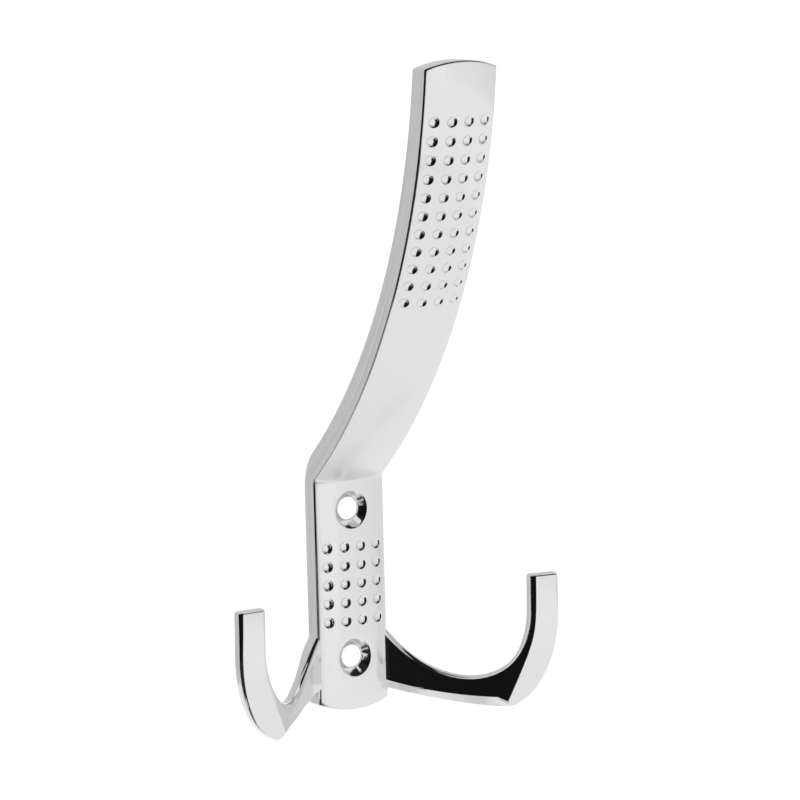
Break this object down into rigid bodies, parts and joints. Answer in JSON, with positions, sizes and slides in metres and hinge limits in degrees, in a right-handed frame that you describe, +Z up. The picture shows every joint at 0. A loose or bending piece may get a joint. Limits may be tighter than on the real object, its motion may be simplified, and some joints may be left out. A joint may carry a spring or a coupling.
{
  "type": "coat hook",
  "caption": "Cast chrome coat hook: a screwed wall plate, a dimpled upper arm that leans out and rises, and a curved prong on each side.",
  "frame": {"origin": "on the wall face, halfway between the screw holes", "axes": "+Z up along the wall, +Y into the wall, so the hook stands out towards -Y; X across the hook"},
  "size_m": [0.0778, 0.0555, 0.14],
  "materials": {
    "chrome": "polished"
  },
  "bodies": {
    "root": {"coat_hook": "chrome"}
  },
  "joints": []
}
